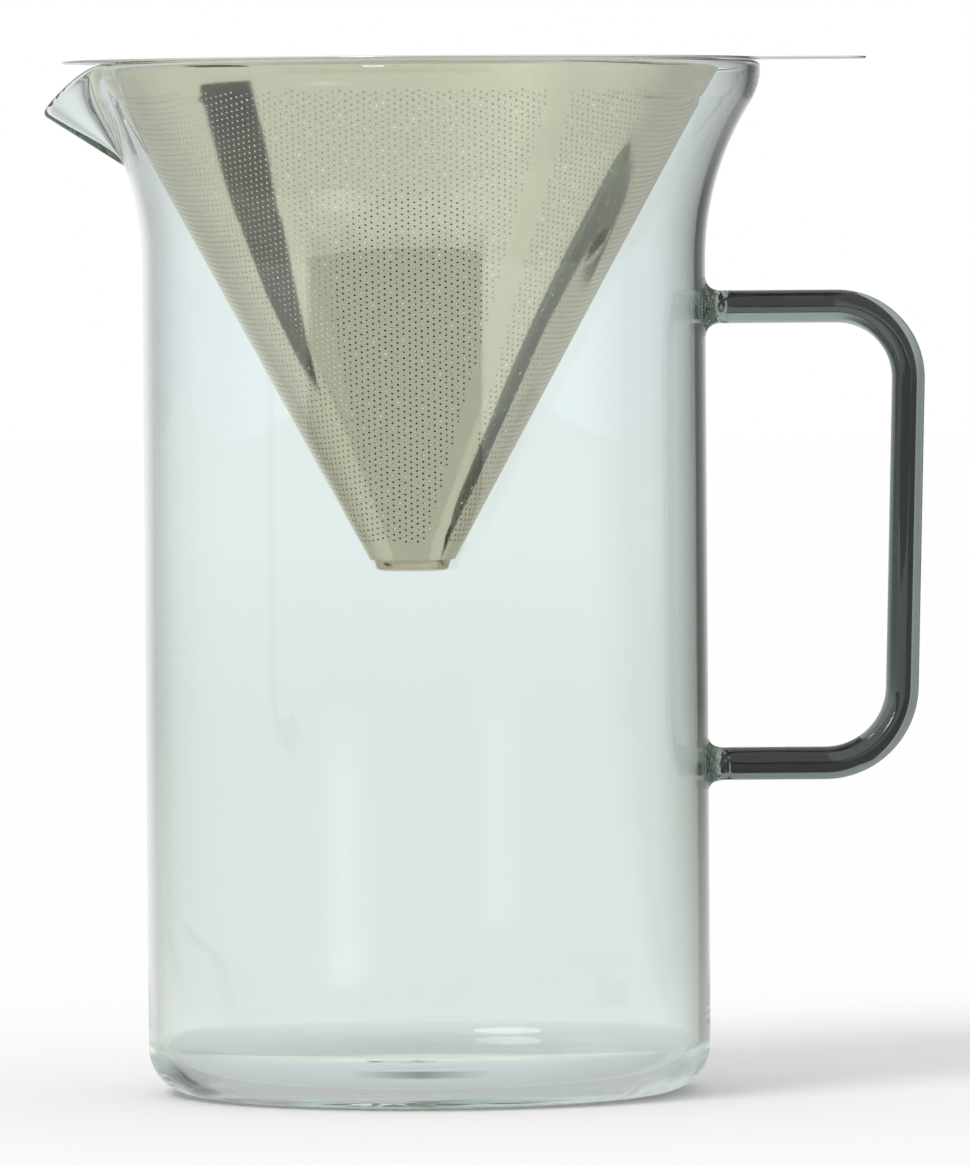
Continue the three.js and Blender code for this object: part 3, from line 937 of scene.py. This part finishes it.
shade = add_node(tree, "MapRange", {"Value": near, "To Min": 1.0, "To Max": room})
under = {"Value": away, "From Min": under_near, "From Max": under_far, "To Min": under_shade}
under = add_node(tree, "MapRange", under)
under = add_node(tree, "Math", {0: under, 1: steel_look}, operation="MAXIMUM")
shade = add_node(tree, "Math", {0: shade, 1: under}, operation="MULTIPLY")
horizon = add_node(tree, "MapRange", {"Value": away, "From Min": horizon_near, "From Max": horizon_far})
colour = floor_white
for share, other in ((horizon, horizon_white), (steel_look, painted_warm_in_steel)):
    colour = add_node(tree, "Mix", {0: share, 6: colour, 7: other}, data_type="RGBA").outputs[2]
mirrored = add_node(tree, "Emission", {"Color": colour, "Strength": shade})
painted = add_node(tree, "MixShader", {0: bent_ray(tree), 1: matt, 2: mirrored})
add_node(tree, "OutputMaterial", {"Surface": painted})

floor_corners = level(-floor_half, floor_half, -floor_half, floor_half, -floor_drop)
floor = new_piece("floor", floor_corners, [(0, 1, 2, 3)], floor_paint)

# The surround is white to the eye and a plain light on matt things. Glass and steel show the room
# in it, white overhead, with a broad softbox in front.
plain_light = 0.78
front_softbox = 0.35
softbox_front, softbox_back = -0.3, 0.1
overhead_low, overhead_high = 0.5, 0.65
world = bpy.data.worlds.new("surround")
world.use_nodes = True
bpy.context.scene.world = world
tree = world.node_tree
tree.nodes.clear()
direction = add_node(tree, "TexCoord").outputs["Generated"]
x, y, z = add_node(tree, "SeparateXYZ", {0: direction}).outputs
in_front = {"Value": y, "From Min": softbox_front, "From Max": softbox_back}
in_front.update({"To Min": front_softbox, "To Max": 0.0})
in_front = add_node(tree, "MapRange", in_front)
overhead = add_node(tree, "MapRange", {"Value": z, "From Min": overhead_low, "From Max": overhead_high})
room = add_node(tree, "MapRange", {"Value": overhead, "To Min": room_shade(tree, x, y), "To Max": 1.0})
mirrored = add_node(tree, "Math", {0: room, 1: in_front}, operation="ADD")
seen = add_node(tree, "LightPath").outputs["Is Camera Ray"]
plain = add_node(tree, "MapRange", {"Value": seen, "To Min": plain_light, "To Max": 1.0})
strength = add_node(tree, "MapRange", {"Value": bent_ray(tree), "To Min": plain, "To Max": mirrored})
surround = add_node(tree, "Background", {"Color": linear("#ffffff"), "Strength": strength})
add_node(tree, "OutputWorld", {"Surface": surround})

# One soft lamp, high on the left in front, which gives the object its shadow
lamp_side = Vector((-0.57, -0.59, 0.9))
lamp_data = bpy.data.lights.new("soft_lamp", "SUN")
lamp_data.energy = 1.0
lamp_data.angle = math.radians(25)
lamp = add_object("soft_lamp", lamp_data)
lamp.rotation_euler = lamp_side.to_track_quat("Z", "Y").to_euler()
lamp.visible_glossy = False


def upright(start, end, low, high):
    """Corners of an upright card from start to end on the floor plan, between two heights."""
    return [(*start, low), (*end, low), (*end, high), (*start, high)]


def card(name, corners, grey, tint="#ffffff", soft=False, seen_by=None, refracted=True):
    """A card that only reflections and refractions show. A soft one fades out towards its edges.
    A test of rays tells which of them it is seen by, and without one it is seen by them all."""
    paint, tree = new_material(name + "_paint")
    shine = add_node(tree, "Emission", {"Color": linear(tint), "Strength": grey})
    clear = add_node(tree, "BsdfTransparent")
    covers = []
    if soft:
        spread = add_node(tree, "UVMap", uv_map="spread")
        u, v = add_node(tree, "SeparateXYZ", {0: spread}).outputs[:2]
        covers.append(add_node(tree, "ValToRGB", {0: u}, [(0, 0), (0.5, 1), (1, 0)]))
        fade = [(0, 0), (0.15, 1), (0.7, 1), (1, 0)]
        covers.append(add_node(tree, "ValToRGB", {0: v}, fade))
    if seen_by:
        covers.append(depth_test(tree, *seen_by))
    for cover in covers:
        shine = add_node(tree, "MixShader", {0: cover, 1: clear, 2: shine})
    add_node(tree, "OutputMaterial", {"Surface": shine})
    paint.cycles.emission_sampling = "NONE"
    piece = new_piece(name, corners, [tuple(range(len(corners)))], paint)
    if soft:
        spread_layer = piece.data.uv_layers.new(name="spread").data
        for corner, place in zip(spread_layer, [(0, 0), (1, 0), (1, 1), (0, 1)]):
            corner.uv = place
    piece.visible_camera = piece.visible_diffuse = piece.visible_shadow = False
    piece.visible_transmission = refracted


# Behind the handle, flags for the rods alone: dark, paler over the upper rod, and a dark line there.
# A bright card far in front glints in the bends.
behind_rods = 120
flag_black = 0.02
rod_flags = [
    ("low_left", 50, 80, 0, 147, flag_black),
    ("low_right", 80, 125, 0, 147, 0.16),
    ("high", 50, 125, 147, 172, 0.3),
    ("line", 50, 125, 172, 176, flag_black),
]
for name, left, right, low, high, grey in rod_flags:
    corners = upright((left, behind_rods), (right, behind_rods), low, high)
    card(f"rod_flag_{name}", corners, grey, seen_by=through_one_rod)
rod_floor = level(left=50, right=125, near=8, far=behind_rods, height=0.4)
card("rod_flag_floor", rod_floor, flag_black, seen_by=through_one_rod)
fill = upright(start=(53, 20), end=(78, 20), low=67, high=100)
card("rod_fill", fill, grey=0.6, seen_by=through_one_rod)
glint = upright(start=(-520, -1500), end=(-330, -1500), low=240, high=420)
card("bend_glint", glint, grey=12, refracted=False)


# In front of the jug, a dark shape that the wall mirrors over the cone alone, and a soft bright
# strip near the floor
def mirrored_by_wall(places, away):
    """Where looks from the camera's side, met by the wall at these places, pass a plane in front."""
    points = []
    for across, height in places:
        turn = math.asin(across / wall_radius)
        drop = (camera_height / MM - height) / (camera_distance / MM)
        run = (away - wall_radius * math.cos(turn)) / math.cos(2 * turn)
        points.append((across + run * math.sin(2 * turn), -away, height - drop * run))
    return points


flag_away = 800
flag_outline = [(-21.7, 161.6), (-21.7, 123), (-9.4, 98.7), (5.9, 98.7), (10.8, 113), (10.8, 161.6)]
flag_places = []
for start, end in zip(flag_outline, flag_outline[1:] + flag_outline[:1]):
    flag_places += between(start, end, np.linspace(0, 1, 7)[:-1])
card("front_flag", mirrored_by_wall(flag_places, flag_away), flag_black)
low_strip = upright(start=(-290, -280), end=(-115, -360), low=-8, high=62)
card("low_strip", low_strip, grey=1.9, soft=True)

# On the floor, painted shade that the steel mirrors out through the glass: a dark shape on the left, a
# pale one in front, and two dark ones beyond the handle, each as its outline, height, grey and tint
left_shade = [(-292, -5), (-259, -57), (-223, -98), (-199, -75), (-192, -50), (-185, -16), (-181, 13)]
left_shade += [(-204, 45), (-220, 58), (-242, 70), (-260, 60), (-270, 42), (-278, 21)]
front_shade = [(-153, -91), (-92, -128), (-21, -146), (43, -142), (110, -116), (126, -69), (142, -29)]
front_shade += [(60, -45), (0, -56), (-60, -45), (-182, -10), (-168, -48)]
right_shade = [(278, 98), (257, 80), (225, 52), (193, 30), (161, 11), (120, -9), (122, 20)]
right_shade += [(142, 37), (161, 61), (200, 87), (233, 103), (265, 143), (277, 160)]
far_shade = [(278, 100), (293, 113), (304, 126), (311, 145), (319, 188), (325, 234), (326, 276)]
far_shade += [(323, 326), (312, 363), (297, 371), (288, 280), (280, 203), (281, 165), (277, 150)]
floor_shades = {
    "left_shade": (left_shade, 0.6, 0.07, "#ffe4d8"),
    "front_shade": (front_shade, 0.5, 0.8, "#fffbeb"),
    "right_shade": (right_shade, 0.6, 0.14, "#f0fff4"),
    "far_shade": (far_shade, 0.6, 0.12, "#ffffff"),
}
for name, (shape, height, grey, tint) in floor_shades.items():
    corners = [(x, y, height) for x, y in shape]
    card(name, corners, grey, tint, seen_by=from_steel_behind_glass)
# A soft, warm painted pool of light on the floor in front, which only the steel behind the glass shows
pool = level(left=0, right=300, near=-260, far=-60, height=0.3)
card("front_pool", pool, grey=1.16, tint="#fffbeb", soft=True, seen_by=from_steel_behind_glass)

# A dark spot far behind, low over the horizon, that the jug's floor mirrors as a narrow lens
spot = upright(start=(-30, 500), end=(18, 500), low=106, high=146)
card("far_spot", spot, grey=0.01, soft=True, seen_by=from_steel_behind_glass)

# Overhead, a grey ceiling and a dark card under it, which show through the cone's holes
ceiling = level(left=-640, right=400, near=-600, far=700, height=600)
card("ceiling", ceiling, grey=0.4, seen_by=mirrored_in_jug, refracted=False)
low_ceiling = level(left=-110, right=110, near=-250, far=-6, height=250)
card("low_ceiling", low_ceiling, grey=0.01, seen_by=mirrored_in_jug, refracted=False)

# Light that is caught in the glass wall turns many times before it leaves at the heel or the spout
light_turns = 256
for limit in ("max_bounces", "transmission_bounces", "glossy_bounces"):
    setattr(bpy.context.scene.cycles, limit, light_turns)
bpy.context.scene.view_settings.view_transform = "Standard"
